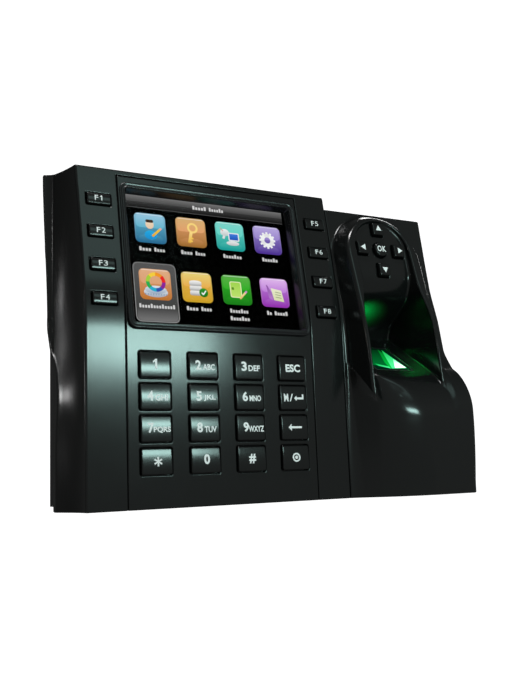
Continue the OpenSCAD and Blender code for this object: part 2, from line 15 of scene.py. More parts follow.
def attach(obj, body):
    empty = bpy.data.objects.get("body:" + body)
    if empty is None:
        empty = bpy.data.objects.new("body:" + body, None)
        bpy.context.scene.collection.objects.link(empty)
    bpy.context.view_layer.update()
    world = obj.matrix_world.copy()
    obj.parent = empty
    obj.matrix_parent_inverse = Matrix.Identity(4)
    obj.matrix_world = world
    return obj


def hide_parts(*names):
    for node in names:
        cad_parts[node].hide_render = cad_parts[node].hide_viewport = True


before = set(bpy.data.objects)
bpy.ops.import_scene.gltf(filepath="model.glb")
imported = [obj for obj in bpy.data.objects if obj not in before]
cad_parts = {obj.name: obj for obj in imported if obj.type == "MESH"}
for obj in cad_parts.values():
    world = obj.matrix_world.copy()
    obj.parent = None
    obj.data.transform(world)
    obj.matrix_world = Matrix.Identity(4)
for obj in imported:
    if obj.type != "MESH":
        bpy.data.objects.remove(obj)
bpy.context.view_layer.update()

# ---- sizes ---------------------------------------------------------------------

MM = 0.001
BODY_W, BODY_H, BODY_D = 159.5, 129.0, 36.0
CORNER = Vector((-BODY_W / 2, -BODY_D, -BODY_H / 2))
LEAN = math.radians(9.66)
BEND_Z = 74.7
WALL = 2.2
SHELL_BACK = 25.9
SPLIT_X = 108.8
SIDE_H = 123.5
PANEL_X, PANEL_W, PANEL_T, PANEL_S = 15.35, 78.5, 1.8, 127.2
GAP = 0.2
SCREEN_W, SCREEN_H, SCREEN_X, SCREEN_S = 70.08, 52.56, 54.6, 95.0
KEY_W, KEY_H, KEY_DX, KEY_DZ = 12.57, 10.09, 19.25, 11.7
KEY_X, KEY_Z = PANEL_X + 4.45 + KEY_W / 2, 57.1 - KEY_H / 2
FKEY_W, FKEY_H, FKEY_DS = 9.8, 5.22, 13.31
FKEY_S = 118.61 - FKEY_H / 2
FKEY_X = (2.66 + FKEY_W / 2, 97.26 + FKEY_W / 2)
NAV_X, NAV_Z, NAV_D, NAV_W = 130.8, 104.9, 9.4, 6.2
SLACK = 0.35
NOSE_Z = 101.0
SLOPE_TILT = math.radians(33)
SLOPE_Y, SLOPE_Z = 3.4, 58.0
SENSOR_W, SENSOR_L = 17.6, 21.3
SWEEP_R = 49.0
BEZEL_EDGE = 2.2
KEY_RISE, NAV_RISE = 1.0, 1.8

# ---- camera ------------------------------------------------------------------------


def make_camera():
    """The photographer's place, low and to the left, fitted to the keys and the case's edges"""
    yaw, pitch, roll = 0.49, 0.16, 0.04
    place = Vector((-0.16401, -0.32579, -0.05384))
    ahead = Vector((math.sin(yaw) * math.cos(pitch), math.cos(yaw) * math.cos(pitch), math.sin(pitch)))
    right = Vector((math.cos(yaw), -math.sin(yaw), 0))
    down = ahead.cross(right)
    turned_right = math.cos(roll) * right + math.sin(roll) * down
    turned_down = math.cos(roll) * down - math.sin(roll) * right
    turn = Matrix((turned_right, -turned_down, -ahead)).transposed()
    data = bpy.data.cameras.new("camera")
    data.lens = 44.95
    data.sensor_width = 36
    data.clip_start = 0.01
    camera = bpy.data.objects.new("camera", data)
    camera.matrix_world = Matrix.Translation(place) @ turn.to_4x4()
    bpy.context.collection.objects.link(camera)
    bpy.context.scene.camera = camera


make_camera()

# ---- curves of the case ------------------------------------------------------------


def bent(z, at, depth, low_slope, high_slope, half):
    """Two straight lines that meet at height `at`, rounded over half a height each way"""
    ramp = np.where(np.abs(z - at) < half, (z - at + half) ** 2 / (4 * half), np.maximum(z - at, 0))
    return depth + low_slope * (z - at) + (high_slope - low_slope) * ramp


def front(z):
    return bent(z, BEND_Z, 0, 0, math.tan(LEAN), 10)


def z_at(s):
    return s if s < BEND_Z else BEND_Z + (s - BEND_Z) * math.cos(LEAN)


def smooth(u):
    v = np.clip(u, 0, 1)
    return v * v * (3 - 2 * v)


def bump(z, at, half):
    return np.exp(-((z - at) / half) ** 2)


def flare(z):
    """How far the flange stands out beside the front, wider above a short slanted step"""
    return 4.8 + 2.3 * smooth((z - 50) / 20) + 1.7 * smooth((z - 70) / 59)


def flange_front(z):
    """The flange's face: three thin ridges at the slanted step and a soft swell below them"""
    depth = 24.3
    ridges = 0.5 * bump(z, 70.5, 1.0), 0.45 * bump(z, 66.5, 1.0), 0.6 * bump(z, 54, 1.6)
    return depth - ridges[0] - ridges[1] - ridges[2] - 1.1 * bump(z, 43, 7)


def slope_line(y):
    """Height of the sensor slope"""
    return SLOPE_Z + math.tan(SLOPE_TILT) * (y - SLOPE_Y)


def brow_line(y):
    """Where the nose's left wall ends on the palm rest"""
    return 57 + 0.987 * y


def rim(z):
    """Depth of the channel's raised rim"""
    return bent(z, 67.5, -13, 0.1, 0.27, 9)


def nav_y(z):
    """Depth of the floor that the direction keys stand in"""
    return -0.8 + math.tan(LEAN) * (z - NOSE_Z)


# ---- fields ------------------------------------------------------------------------


def join(a, b, r):
    """Both solids, with a hollow fillet of radius r between them"""
    return np.maximum(r, np.minimum(a, b)) - np.hypot(np.maximum(r - a, 0), np.maximum(r - b, 0))


def meet(a, b, r):
    """What two solids share, with its edge rounded to radius r"""
    return np.minimum(-r, np.maximum(a, b)) + np.hypot(np.maximum(r + a, 0), np.maximum(r + b, 0))


def cut(a, b, r):
    return meet(a, -b, r)


def rectangle(u, v, half_w, half_h, r):
    a, b = np.abs(u) - half_w + r, np.abs(v) - half_h + r
    return np.hypot(np.maximum(a, 0), np.maximum(b, 0)) + np.minimum(np.maximum(a, b), 0) - r


def plate(edge, out, half):
    """An outline carried `half` a thickness to both sides of the face that it lies on"""
    return np.maximum(edge, np.abs(out) - half)


def on_front(x, y, z, cx, s):
    """Right, up and out of the leaning front, from the point at arc s"""
    z0 = z_at(s)
    y0 = float(front(np.array(z0)))
    up = (y - y0) * math.sin(LEAN) + (z - z0) * math.cos(LEAN)
    out = (z - z0) * math.sin(LEAN) - (y - y0) * math.cos(LEAN)
    return x - cx, up, out


def on_slope(y, z):
    """Up and out of the sensor slope"""
    up = (y - SLOPE_Y) * math.cos(SLOPE_TILT) + (z - SLOPE_Z) * math.sin(SLOPE_TILT)
    out = (z - SLOPE_Z) * math.cos(SLOPE_TILT) - (y - SLOPE_Y) * math.sin(SLOPE_TILT)
    return up, out


def sides(x, y, z):
    """Both side walls, hollow curves that sweep outwards to the flange"""
    out = np.maximum(-x, x - BODY_W)
    sweep = np.clip(y, 0, 40)
    swell = bump(z, 41, 11) * smooth(y / 16)
    wall = (out - swell - sweep ** 2 / (2 * SWEEP_R)) / np.hypot(1, sweep / SWEEP_R)
    return meet(join(wall, flange_front(z) - y, 1.8), out - flare(z), 0.5)


def body(x, y, z, top, face=None):
    """The whole case as one block, up to the height `top`"""
    face = front(z) if face is None else face
    f = meet((face - y) * math.cos(LEAN), sides(x, y, z), 0.8)
    f = meet(f, z - top, 0.7)
    return meet(f, -z, 0.5)


def fkey_holes(x, y, z):
    """The eight function key openings, folded onto one"""
    middle = FKEY_S - 1.5 * FKEY_DS
    folded = np.abs(x - sum(FKEY_X) / 2) - (FKEY_X[1] - FKEY_X[0]) / 2
    u, v, out = on_front(folded, y, z, 0, middle)
    row = np.clip(np.round(v / FKEY_DS + 0.5), -1, 2) - 0.5
    return plate(rectangle(u, v - row * FKEY_DS, FKEY_W / 2, FKEY_H / 2, 0.6), out, 6)


def screen_hole(x, y, z, margin):
    u, v, out = on_front(x, y, z, SCREEN_X, SCREEN_S)
    edge = rectangle(u, v, SCREEN_W / 2 + margin, SCREEN_H / 2 + margin, BEZEL_EDGE)
    return plate(edge, out, 7)


def front_cover(x, y, z):
    """A thin shell with a recess and a ledge for the centre panel, open behind the keys"""
    outer = body(x, y, z, BODY_H)
    depth = (y - front(z)) * math.cos(LEAN)
    across = np.abs(x - PANEL_X - PANEL_W / 2)
    top = z_at(PANEL_S)
    ledge_w, ledge_y, ledge_t, ledge_foot = 1.6, 2.9, 0.9, 2
    edge = np.maximum(across - PANEL_W / 2 - ledge_w, np.maximum(z - top - ledge_w, ledge_foot - z))
    shell = np.minimum(np.maximum(outer, -outer - WALL), plate(edge, depth - ledge_y, ledge_t))
    shell = meet(shell, x - SPLIT_X, 0.35)
    recess = np.maximum(np.maximum(across - PANEL_W / 2 - GAP, z - top - GAP), depth - PANEL_T - GAP)
    rest, window_foot, window_y = 3, 6, 8
    window = np.maximum(across - PANEL_W / 2 + rest, z - top + rest)
    window = np.maximum(window, np.maximum(window_foot - z, depth - window_y))
    shell = cut(shell, recess, 0.35)
    shell = np.maximum(shell, -window)
    shell = np.maximum(shell, -screen_hole(x, y, z, 2.4))
    shell = cut(shell, fkey_holes(x, y, z), 0.35)
    return np.maximum(shell, y - SHELL_BACK)


def center_panel(x, y, z):
    across = np.abs(x - PANEL_X - PANEL_W / 2) - PANEL_W / 2
    depth = (y - front(z)) * math.cos(LEAN)
    panel = meet(meet(-depth, depth - PANEL_T, 0.2), meet(across, z - z_at(PANEL_S), 0.3), 0.4)
    column = np.clip(np.round((x - KEY_X) / KEY_DX), 0, 3)
    row = np.clip(np.round((KEY_Z - z) / KEY_DZ), 0, 3)
    keys = rectangle(x - KEY_X - column * KEY_DX, z - KEY_Z + row * KEY_DZ, KEY_W / 2, KEY_H / 2, 0.9)
    panel = cut(meet(panel, -z, 0.4), keys, 0.4)
    return cut(panel, screen_hole(x, y, z, 2.3), 0.3)


def nose(x, y, z):
    """The raised rim round the finger channel, its side walls leaning in towards the rim"""
    across = np.hypot(x - NAV_X, np.maximum(z - NOSE_Z, 0))
    rim_half, lean_in, rim_cos, foot_cos = 18.5, 0.2, 0.97, 0.71
    foot_half = 19.9 + 1.4 * smooth((z - 57) / 44)
    top = rim(z)
    rise = np.clip((front(z) - y) / np.maximum(front(z) - top, 1), -0.3, 1.1)
    wall = (across - foot_half + (foot_half - rim_half) * rise) / np.hypot(1, lean_in)
    ridge = meet(wall, (top - y) * rim_cos, 1.3)
    return np.maximum(ridge, (brow_line(y) - 1.2 - z) * foot_cos)


def palm_rest(x, y, z):
    """Sensor slope, round brow and belly, with a left flank that widens towards the bottom"""
    brow_r, flank_x, flank_y = 10, 111.3, 20
    shoulder = 3 * smooth((x - NAV_X - 17) / 5)
    slope = (z - slope_line(y) - shoulder) * math.cos(SLOPE_TILT)
    belly = 20.1 - 2.4 * (np.maximum(30 - z, 0) / 30) ** 1.6
    profile = meet(slope, -y - belly, brow_r)
    run = 1.8 + 10 * smooth((57 - z) / 16) + 4.5 * smooth((30 - z) / 30)
    steep = flank_y / run
    flank = (-y - steep * (x - flank_x)) / np.hypot(1, steep)
    crest_r = 1.2 + 8.8 * smooth((58 - z) / 20)
    return meet(meet(profile, flank, crest_r), sides(x, y, z), 1.5)


def channel(x, y, z):
    """The finger channel: key floor, shoulder, roof and the hollow back of the pocket"""
    roof_y, roof_z, back_y, arch_z, foot_z = 11.5, 79.2, 20.3, 104.2, 40
    roof = (y - roof_y) * 0.5 + (z - roof_z) * 0.866
    pocket = meet(roof, y - back_y, 4.8)
    floor = (y - nav_y(z)) * math.cos(LEAN)
    depth = join(pocket, floor, 8)
    half = 14 + 3 * smooth((92 - z) / 20)
    across = np.hypot(x - NAV_X, np.maximum(z - arch_z, 0)) - half
    return meet(meet(depth, across, 1.2), foot_z - z, 0.1)


def nav_holes(x, y, z):
    """Four square openings and a round one in the channel's floor"""
    u, v = x - NAV_X, (y - nav_y(NAV_Z)) * math.sin(LEAN) + (z - NAV_Z) * math.cos(LEAN)
    out = (z - NAV_Z) * math.sin(LEAN) - (y - nav_y(NAV_Z)) * math.cos(LEAN)
    flip = np.abs(u) > np.abs(v)
    far, near = np.where(flip, np.abs(u), np.abs(v)), np.where(flip, v, u)
    square = rectangle(far - NAV_D, near, NAV_W / 2, NAV_W / 2, 0.5)
    middle_r = 3.6
    return plate(np.minimum(square, np.hypot(u, v) - middle_r), out, 6)


def sensor_hole(x, y, z):
    up, out = on_slope(y, z)
    return plate(rectangle(x - NAV_X, up, SENSOR_W / 2 + 1, SENSOR_L / 2 + 1, 0.8), out, 5)


def sensor_cover(x, y, z):
    """The right-hand moulding: case, raised nose and palm rest, less the finger channel"""
    right_side = smooth((x - NAV_X - 16) / 6)
    fuller = math.tan(LEAN) * (z - BEND_Z) - 1.6 * smooth((92 - z) / 20)
    face = front(z) * (1 - right_side) + np.minimum(front(z), fuller) * right_side
    case = body(x, y, z, SIDE_H, face)
    raised = cut(join(case, nose(x, y, z), 0.8), channel(x, y, z), 0.9)
    left_foot = smooth((118 - x) / 4) * smooth((57 - z) / 57) * smooth((y + 14) / 10)
    outer = join(raised, palm_rest(x, y, z), 0.7 + 4 * right_side + 2.6 * left_foot)
    outer = meet(outer, -z, 0.5)
    shell = np.maximum(outer, -outer - WALL)
    shell = meet(shell, SPLIT_X + GAP - x, 0.35)
    shell = cut(shell, nav_holes(x, y, z), 0.35)
    shell = cut(shell, sensor_hole(x, y, z), 0.3)
    return np.maximum(shell, y - SHELL_BACK)


def dome(r, w, rise, crown):
    """Below a round crown whose highest point is `rise` above the face"""
    return np.hypot(r, w + crown - rise) - crown


def square_cap(u, v, w, size, corner_r, top, edge_r, skirt=3.0, lip=0.4, lip_w=-2.95):
    """A cap a little smaller than its opening, with a lip behind the panel that holds it in"""
    half_w, half_h = size[0] / 2, size[1] / 2
    cap = meet(rectangle(u, v, half_w - SLACK, half_h - SLACK, corner_r), top, edge_r)
    cap = np.maximum(cap, -w - skirt)
    held = rectangle(u, v, half_w + lip, half_h + 0.25, 0.3)
    return np.minimum(cap, plate(held, w - lip_w, lip))


def pad_cap(u, v, w):
    """A keypad cap, its crown facing slightly upwards"""
    crown, tilt = 45.0, math.radians(3.5)
    top = dome(v + crown * math.sin(tilt), w, KEY_RISE, crown)
    return square_cap(u, v, w, (KEY_W, KEY_H), 0.7, top, 0.45, skirt=2.7, lip=0.45, lip_w=-2.45)


def function_cap(u, v, w):
    return square_cap(u, v, w, (FKEY_W, FKEY_H), 0.5, dome(v, w, KEY_RISE, 7.0), 0.35)


def arrow_cap(u, v, w):
    top = dome(np.hypot(u, v), w, NAV_RISE, 30.0)
    return square_cap(u, v, w, (NAV_W, NAV_W), 0.6, top, 0.5)


def ok_cap(u, v, w):
    r = np.hypot(u, v)
    cap_r, lip_r = 3.25, 4.05
    cap = np.maximum(meet(r - cap_r, dome(r, w, NAV_RISE, 30.0), 0.5), -w - 3)
    return np.minimum(cap, plate(r - lip_r, w + 3, 0.4))


# ---- field to mesh -------------------------------------------------------------------


def lines(start, end, coarse, fine=None, marks=(), reach=1.2):
    """Grid lines from start to end, closer together near the marks"""
    at = [start]
    while at[-1] < end:
        near = any(abs(at[-1] + 0.5 * coarse - m) < reach + 0.5 * coarse for m in marks)
        at.append(at[-1] + (fine if near else coarse))
    return np.array(at)


def slopes(field, p):
    """The field's gradient at each point"""
    h = 0.02
    grad = np.empty_like(p)
    for axis in range(3):
        step = np.zeros(3)
        step[axis] = h
        grad[:, axis] = (field(*(p + step).T) - field(*(p - step).T)) / (2 * h)
    return grad


def solid(name, field, axes, place=None):
    """A closed mesh of the surface where the field is 0, one vertex in each cell that it crosses"""
    value = field(*np.meshgrid(*axes, indexing="ij"))
    inside = value < 0
    counts = [n - 1 for n in value.shape]
    corners = [(a, b, c) for a in (0, 1) for b in (0, 1) for c in (0, 1)]
    full = np.zeros(counts, np.int8)
    for a, b, c in corners:
        full += inside[a:a + counts[0], b:b + counts[1], c:c + counts[2]]
    cells = np.argwhere((full > 0) & (full < 8))
    number = np.full(counts, -1)
    number[tuple(cells.T)] = np.arange(len(cells))
    low = np.stack([axes[d][cells[:, d]] for d in range(3)], 1)
    size = np.stack([axes[d][cells[:, d] + 1] for d in range(3)], 1) - low
    total, crossings = np.zeros((len(cells), 3)), np.zeros(len(cells))
    at = {c: value[tuple((cells + c).T)] for c in corners}
    for first in corners:
        for axis in range(3):
            if first[axis]:
                continue
            second = tuple(v + (d == axis) for d, v in enumerate(first))
            a, b = at[first], at[second]
            hit = (a < 0) != (b < 0)
            share = np.where(hit, a / np.where(hit, a - b, 1), 0)
            point = np.array(first, float)[None, :].repeat(len(cells), 0)
            point[:, axis] = share
            total += point * hit[:, None]
            crossings += hit
    start = low + size * total / crossings[:, None]
    p = start.copy()
    for _ in range(3):
        grad = slopes(field, p)
        p = p - grad * (field(*p.T) / np.maximum((grad ** 2).sum(1), 0.2))[:, None]
        p = start + np.clip(p - start, -0.6 * size, 0.6 * size)
    normals = slopes(field, p)
    quads = []
    for axis in range(3):
        u, v = (axis + 1) % 3, (axis + 2) % 3
        low_part, high_part = [slice(None)] * 3, [slice(None)] * 3
        low_part[axis], high_part[axis] = slice(0, -1), slice(1, None)
        a, b = inside[tuple(low_part)], inside[tuple(high_part)]
        for mixed, order in ((a & ~b, 1), (b & ~a, -1)):
            e = np.argwhere(mixed)
            e = e[(e[:, u] > 0) & (e[:, v] > 0) & (e[:, u] < counts[u]) & (e[:, v] < counts[v])]
            back_u, back_v = np.eye(3, dtype=int)[u], np.eye(3, dtype=int)[v]
            ring = [e - back_u - back_v, e - back_v, e, e - back_u][::order]
            quads.append(np.stack([number[tuple(c.T)] for c in ring], 1))
    quads = np.concatenate(quads)
    if place is None:
        points = (p + np.array(CORNER)) * MM
    else:
        points = (p @ np.array(place.to_3x3()).T + np.array(place.translation)) * MM
        normals = normals @ np.array(place.to_3x3()).T
    mesh = bpy.data.meshes.new(name)
    mesh.vertices.add(len(points))
    mesh.vertices.foreach_set("co", points.ravel())
    mesh.loops.add(quads.size)
    mesh.loops.foreach_set("vertex_index", quads.ravel())
    mesh.polygons.add(len(quads))
    mesh.polygons.foreach_set("loop_start", np.arange(0, quads.size, 4))
    mesh.update(calc_edges=True)
    mesh.polygons.foreach_set("use_smooth", np.ones(len(quads), bool))
    normals = normals / np.maximum(np.linalg.norm(normals, axis=1), 1e-6)[:, None]
    mesh.normals_split_custom_set_from_vertices(normals.tolist())
    return mesh


def piece(name, mesh, material, ridden="base", stands_for=()):
    """A visible piece that moves with one body and may stand for CAD nodes"""
    made = bpy.data.objects.new(name, mesh)
    bpy.context.collection.objects.link(made)
    if material is not None and not mesh.materials:
        mesh.materials.append(material)
    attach(made, ridden)
    if stands_for:
        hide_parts(*stands_for)


# ---- materials -------------------------------------------------------------------------


def new_material(name, colour, roughness, **sockets):
    """A Principled material; returns its node tree and shader too"""
    made = bpy.data.materials.new(name)
    made.use_nodes = True
    shader = made.node_tree.nodes["Principled BSDF"]
    shader.inputs["Base Color"].default_value = (*colour, 1)
    shader.inputs["Roughness"].default_value = roughness
    for socket, value in sockets.items():
        shader.inputs[socket.replace("_", " ")].default_value = value
    return made, made.node_tree, shader


def add_grain(tree, shader, size, height, mottled=None):
    """Fine surface grain, size in millimetres, with a slow change of roughness over it"""
    nodes, links = tree.nodes, tree.links
    where = nodes.new("ShaderNodeTexCoord")
    fine = nodes.new("ShaderNodeTexNoise")
    fine.inputs["Scale"].default_value = 1000 / size
    fine.inputs["Detail"].default_value = 4
    relief = nodes.new("ShaderNodeBump")
    relief.inputs["Strength"].default_value = 1
    relief.inputs["Distance"].default_value = height * MM
    links.new(where.outputs["Object"], fine.inputs["Vector"])
    links.new(fine.outputs["Fac"], relief.inputs["Height"])
    links.new(relief.outputs["Normal"], shader.inputs["Normal"])
    if mottled:
        slow = nodes.new("ShaderNodeTexNoise")
        slow.inputs["Scale"].default_value = 60
        slow.inputs["Detail"].default_value = 5
        spread = nodes.new("ShaderNodeMapRange")
        spread.inputs["From Min"].default_value = 0.3
        spread.inputs["From Max"].default_value = 0.7
        spread.inputs["To Min"].default_value = mottled[0]
        spread.inputs["To Max"].default_value = mottled[1]
        links.new(where.outputs["Object"], slow.inputs["Vector"])
        links.new(slow.outputs["Fac"], spread.inputs["Value"])
        links.new(spread.outputs["Result"], shader.inputs["Roughness"])


def plastic(name, colour, roughness, grain, height, mottle=0.04, **sockets):
    made, tree, shader = new_material(name, colour, roughness, **sockets)
    add_grain(tree, shader, grain, height, (roughness - mottle, roughness + mottle))
    return made


def metal(name, colour, roughness):
    return plastic(name, colour, roughness, 0.8, 0.006, 0.03, Metallic=1.0)


def board_material():
    """Green solder mask with faint copper tracks under it"""
    made, tree, shader = new_material("circuit_board", (0.01, 0.12, 0.04), 0.35, Coat_Weight=0.5)
    nodes, links = tree.nodes, tree.links
    where = nodes.new("ShaderNodeTexCoord")
    tracks = nodes.new("ShaderNodeTexBrick")
    tracks.inputs["Scale"].default_value = 220
    tracks.inputs["Color1"].default_value = (0.01, 0.12, 0.04, 1)
    tracks.inputs["Color2"].default_value = (0.012, 0.15, 0.05, 1)
    tracks.inputs["Mortar"].default_value = (0.03, 0.26, 0.09, 1)
    links.new(where.outputs["Object"], tracks.inputs["Vector"])
    links.new(tracks.outputs["Color"], shader.inputs["Base Color"])
    add_grain(tree, shader, 1.2, 0.01)
    return made


def painted_light(name, strength, specular, gloss=0.15):
    """Glows in the colours held by the mesh"""
    made, tree, shader = new_material(name, (0.0, 0.0, 0.0), gloss, Specular_IOR_Level=specular)
    colours = tree.nodes.new("ShaderNodeVertexColor")
    colours.layer_name = "Color"
    tree.links.new(colours.outputs["Color"], shader.inputs["Emission Color"])
    shader.inputs["Emission Strength"].default_value = strength
    return made


def clear_window():
    """Clear but for a faint reflection that grows towards its edges"""
    made = bpy.data.materials.new("window_glass")
    made.use_nodes = True
    nodes, links = made.node_tree.nodes, made.node_tree.links
    nodes.remove(nodes["Principled BSDF"])
    fresnel = nodes.new("ShaderNodeFresnel")
    fresnel.inputs["IOR"].default_value = 1.08
    through = nodes.new("ShaderNodeBsdfTransparent")
    gloss = nodes.new("ShaderNodeBsdfGlossy")
    gloss.inputs["Roughness"].default_value = 0.08
    both = nodes.new("ShaderNodeMixShader")
    links.new(fresnel.outputs["Fac"], both.inputs["Fac"])
    links.new(through.outputs["BSDF"], both.inputs[1])
    links.new(gloss.outputs["BSDF"], both.inputs[2])
    links.new(both.outputs["Shader"], nodes["Material Output"].inputs["Surface"])
    return made


BLACK = (0.007, 0.0075, 0.0075)
SHELL = plastic("satin_black_plastic", BLACK, 0.18, grain=0.35, height=0.003, mottle=0.01)
PANEL = plastic("panel_black_plastic", BLACK, 0.18, grain=0.35, height=0.003, mottle=0.01)
GLOSS = plastic("glossy_black_plastic", (0.006, 0.006, 0.007), 0.24, grain=0.6, height=0.002)
REAR = plastic("rear_black_plastic", (0.014, 0.014, 0.015), 0.5, grain=0.5, height=0.02)
CAP = plastic("key_black_plastic", (0.006, 0.0065, 0.0065), 0.17, grain=0.5, height=0.002, mottle=0.015)
# Printed white lettering with a faint painted glow: the emission lights the print beyond what the lamps
# give it
PRINT_AND_PAINTED_GLOW = plastic("printed_white_painted_glow", (0.85, 0.87, 0.86), 0.5, grain=0.3, height=0.004,
                 Emission_Color=(0.85, 0.9, 0.9, 1), Emission_Strength=0.22)
RUBBER = plastic("grey_silicone", (0.25, 0.25, 0.26), 0.6, grain=0.4, height=0.02)
SEAL = plastic("black_rubber", (0.008, 0.008, 0.008), 0.6, grain=0.4, height=0.02)
STEEL = metal("zinc_steel", (0.55, 0.56, 0.58), 0.35)
NICKEL = metal("nickel_plate", (0.6, 0.6, 0.58), 0.25)
BOARD = board_material()
TERMINAL = plastic("green_terminal_plastic", (0.02, 0.25, 0.07), 0.4, grain=0.5, height=0.01)
BATTERY = plastic("battery_sleeve", (0.04, 0.1, 0.25), 0.35, grain=1, height=0.02)
GLASS = clear_window()
SCREEN = painted_light("picture", 1.0, 0.0)
GLOW = painted_light("sensor_glow", 1.0, 0.3)

# ---- shells ----------------------------------------------------------------------------


def make_shells():
    """The case's three outer skins, on grids that are finer where the edges are"""
    columns = [KEY_X + i * KEY_DX + s * KEY_W / 2 for i in range(4) for s in (-1, 1)]
    rows = [KEY_Z - j * KEY_DZ + s * KEY_H / 2 for j in range(4) for s in (-1, 1)]
    panel_edges = [PANEL_X, PANEL_X + PANEL_W]
    fkey_edges = [x + s * FKEY_W / 2 for x in FKEY_X for s in (-1, 1)]
    fkey_rows = [z_at(FKEY_S - j * FKEY_DS) + s * FKEY_H / 2 for j in range(4) for s in (-1, 1)]
    screen_rows = [z_at(SCREEN_S + s * (SCREEN_H / 2 + 2.3)) for s in (-1, 1)]
    screen_columns = [SCREEN_X + s * (SCREEN_W / 2 + 2.3) for s in (-1, 1)]
    wide = [-0.5, SPLIT_X] + panel_edges + fkey_edges
    tall = [0, 127, BODY_H, 43, 54, 66.5, 70.5] + fkey_rows
    foot, back = -1.5, 27
    cover = solid("front_shell", front_cover, (
        lines(-10.5, 110, 0.9, 0.3, wide),
        lines(foot, back, 0.5, 0.3, [0, 24, 26]),
        lines(foot, 131, 1.1, 0.35, tall)))
    piece("front_shell", cover, SHELL, stands_for=["front_cover"])
    side = solid("sensor_shell", sensor_cover, (
        lines(108, 170, 0.55, 0.3, [109, 112, 121, 140]),
        lines(-22.5, back, 0.5),
        lines(foot, 125, 0.5)))
    piece("sensor_shell", side, SHELL, stands_for=["sensor_cover"])
    across = panel_edges + columns + screen_columns
    panel = solid("panel_skin", center_panel, (
        lines(PANEL_X - 1, PANEL_X + PANEL_W + 1, 0.9, 0.22, across, 0.7),
        lines(-0.9, 11.5, 0.3),
        lines(-1, 128, 0.9, 0.25, [0, 126.5] + rows + screen_rows, 0.8)))
    piece("panel_skin", panel, PANEL, stands_for=["center_panel"])


make_shells()

# ---- display ---------------------------------------------------------------------------


def front_place(x, s):
    """Matrix from right, up, out of the front to millimetres in the frame"""
    lean = LEAN if s > BEND_Z else 0
    z0 = z_at(s)
    y0 = float(front(np.array(z0)))
    side, along, across = math.sin(lean), math.cos(lean), (1, 0, 0)
    turn = Matrix((across, (0, side, -along), (0, along, side)))
    return Matrix.Translation(Vector((x, y0, z0)) + CORNER) @ turn.to_4x4()


def rounded(half_w, half_h, r, n=6):
    """Corner points of a rounded rectangle, counter-clockwise"""
    points = []
    for corner, (sx, sy) in enumerate([(1, 1), (-1, 1), (-1, -1), (1, -1)]):
        for i in range(n + 1):
            a = math.pi / 2 * (corner + i / n)
            points.append((sx * (half_w - r) + r * math.cos(a), sy * (half_h - r) + r * math.sin(a)))
    return points


def circle(u, v, r, n, squash=1, turn=0):
    """Points all round a circle, or round one that is squashed upright"""
    angles = [turn + i * math.tau / n for i in range(n)]
    return [(u + r * math.cos(a), v + squash * r * math.sin(a)) for a in angles]


def make_bezel():
    """A ring with a rounded lip whose inside slopes down to the window"""
    profile = [
        (0, -3.2), (-1.3, -2.6), (-1.35, 0.08), (-1.2, 0.3), (-0.9, 0.38), (-0.55, 0.3),
        (-0.3, 0.14), (0.3, 0.12), (0.55, 0.3), (0.8, 0.28), (1.0, 0.0), (1.15, -0.35),
        (1.9, -2.3), (2.05, -2.9), (2.1, -3.2)]
    place = front_place(SCREEN_X, SCREEN_S)
    bm = bmesh.new()
    rings = []
    for inset, height in profile:
        half_w = SCREEN_W / 2 + BEZEL_EDGE - inset
        half_h = SCREEN_H / 2 + BEZEL_EDGE - inset
        corners = rounded(half_w, half_h, max(BEZEL_EDGE - inset, 0.3))
        rings.append([bm.verts.new(place @ Vector((u, v, height)) * MM) for u, v in corners])
    for a, b in zip(rings, rings[1:] + rings[:1]):
        for i in range(len(a)):
            j = (i + 1) % len(a)
            bm.faces.new((a[i], a[j], b[j], b[i])).smooth = True
    bmesh.ops.recalc_face_normals(bm, faces=bm.faces)
    mesh = bpy.data.meshes.new("bezel_ring")
    bm.to_mesh(mesh)
    bm.free()
    mesh.set_sharp_from_angle(angle=math.radians(50))
    piece("bezel_ring", mesh, GLOSS, stands_for=["display_bezel"])


class Picture:
    """Flat coloured shapes, each drawn a hair above the last"""

    def __init__(self, place, depth):
        self.bm = bmesh.new()
        self.paint = self.bm.loops.layers.float_color.new("Color")
        self.place, self.height = place, depth

    def shape(self, points, colour, low_colour=None, lift=0.004):
        """A filled outline, shaded from colour at its top to low_colour at its foot"""
        self.height += lift
        low_colour = low_colour or colour
        foot, head = min(v for _, v in points), max(v for _, v in points)
        verts = [self.bm.verts.new(self.place @ Vector((u, v, self.height)) * MM) for u, v in points]
        face = self.bm.faces.new(verts)
        for loop, (_, v) in zip(face.loops, points):
            t = (v - foot) / max(head - foot, 1e-6)
            loop[self.paint] = (*[a * t + b * (1 - t) for a, b in zip(colour, low_colour)], 1)

    def slab(self, u, v, w, h, colour, low_colour=None, r=0.2):
        corners = rounded(w / 2, h / 2, min(r, w / 2 - 0.01, h / 2 - 0.01), 4)
        self.shape([(u + a, v + b) for a, b in corners], colour, low_colour)

    def disc(self, u, v, r, colour, low_colour=None, squash=1):
        self.shape(circle(u, v, r, 20, squash), colour, low_colour)

    def bar(self, u0, v0, u1, v1, w, colour, low_colour=None):
        length = math.hypot(u1 - u0, v1 - v0)
        a, b = (v1 - v0) / length * w / 2, (u0 - u1) / length * w / 2
        corners = [(u0 + a, v0 + b), (u1 + a, v1 + b), (u1 - a, v1 - b), (u0 - a, v0 - b)]
        self.shape(corners, colour, low_colour)

    def ring(self, u, v, r, thick, colours):
        """A ring cut into one sector for each colour"""
        steps, hole = 6, r - thick
        for k, colour in enumerate(colours):
            angles = [(k + i / steps) * math.tau / len(colours) for i in range(steps + 1)]
            outer = [(u + r * math.cos(a), v + r * math.sin(a)) for a in angles]
            inner = [(u + hole * math.cos(a), v + hole * math.sin(a)) for a in angles[::-1]]
            self.shape(outer + inner, colour, lift=0.0003)

    def mesh(self, name):
        made = bpy.data.meshes.new(name)
        self.bm.to_mesh(made)
        self.bm.free()
        return made


